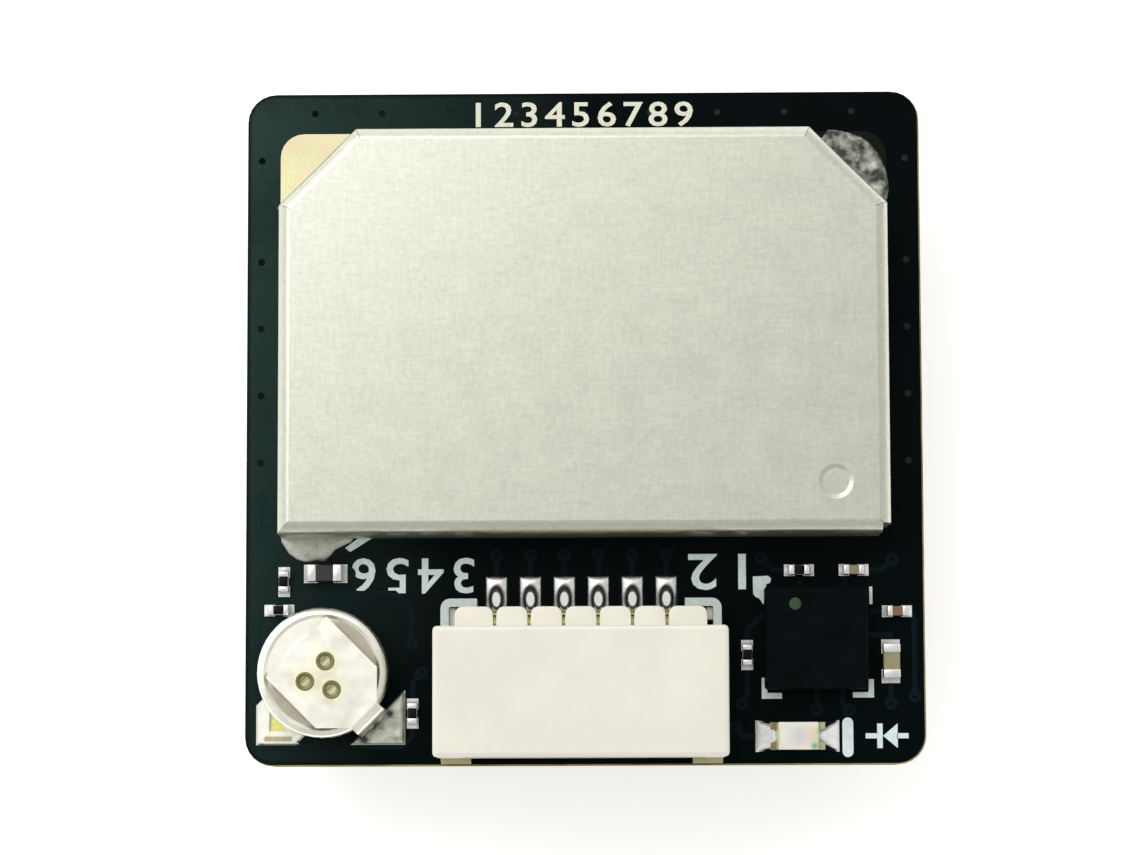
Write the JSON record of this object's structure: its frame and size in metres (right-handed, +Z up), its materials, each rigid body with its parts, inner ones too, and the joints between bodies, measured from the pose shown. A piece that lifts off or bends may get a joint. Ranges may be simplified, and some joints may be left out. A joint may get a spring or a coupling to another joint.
{
  "type": "satellite positioning module",
  "caption": "Square positioning module: board with folded shield can, side-entry connector, backup cell and compass chip, on a ceramic patch antenna.",
  "frame": {"origin": "under the middle of the board's outline, level with the head of the antenna's feed pin, which is the lowest point", "axes": "+Z up from the antenna to the component side, +X along the connector's row of contacts, -Y out of the connector's mouth"},
  "size_m": [0.02, 0.02, 0.0087],
  "materials": {
    "board_mask": "dark green solder mask, satin",
    "beige_ceramic": "fired ceramic, matt",
    "fired_silver": "fired silver, matt",
    "foam_tape": "acrylic foam tape",
    "tin": "bright tin",
    "can_sheet": "nickel silver, fine grain",
    "ivory_nylon": "moulded nylon, satin",
    "plated_steel": "nickel plate, satin",
    "gasket": "moulded gasket",
    "black_compound": "moulding compound, matt",
    "white_laminate": "white laminate",
    "clear_resin": "clear resin over a pale reflector",
    "olive_dielectric": "fired ceramic with tinned ends",
    "brown_dielectric": "fired ceramic with tinned ends",
    "dark_ferrite": "ferrite with tinned ends"
  },
  "bodies": {
    "root": {"circuit_board": "board_mask", "antenna_ceramic": "beige_ceramic", "antenna_electrode": "fired_silver", "antenna_ground_plane": "fired_silver", "antenna_tape": "foam_tape", "feed_pin": "tin", "feed_solder_joint": "tin", "shield_can": "can_sheet", "connector_housing": "ivory_nylon", "contact_1": "tin", "contact_2": "tin", "contact_3": "tin", "contact_4": "tin", "contact_5": "tin", "contact_6": "tin", "solder_nail_left": "tin", "solder_nail_right": "tin", "cell_case": "plated_steel", "cell_gasket": "gasket", "cell_cap": "plated_steel", "cell_top_terminal": "plated_steel", "cell_base_terminal": "plated_steel", "compass_chip": "black_compound", "lamp_base": "white_laminate", "lamp_lens": "clear_resin", "receiver_chip": "black_compound", "oscillator_base": "beige_ceramic", "oscillator_lid": "plated_steel", "clock_crystal_base": "beige_ceramic", "clock_crystal_lid": "plated_steel", "antenna_filter": "beige_ceramic", "antenna_amplifier": "black_compound", "voltage_regulator": "black_compound", "data_pullup_resistor": "black_compound", "clock_pullup_resistor": "black_compound", "cell_charge_resistor": "black_compound", "lamp_resistor": "black_compound", "pulse_resistor": "black_compound", "compass_core_capacitor": "olive_dielectric", "compass_supply_capacitor": "olive_dielectric", "compass_pump_capacitor": "brown_dielectric", "supply_bead": "dark_ferrite", "receiver_capacitor_1": "olive_dielectric", "receiver_capacitor_2": "olive_dielectric", "receiver_capacitor_3": "olive_dielectric", "match_coil": "dark_ferrite", "match_capacitor": "olive_dielectric", "bias_coil": "dark_ferrite", "oscillator_capacitor": "olive_dielectric", "amplifier_capacitor": "olive_dielectric", "regulator_output_capacitor": "olive_dielectric", "regulator_input_capacitor": "olive_dielectric", "core_supply_coil": "dark_ferrite"}
  },
  "joints": []
}
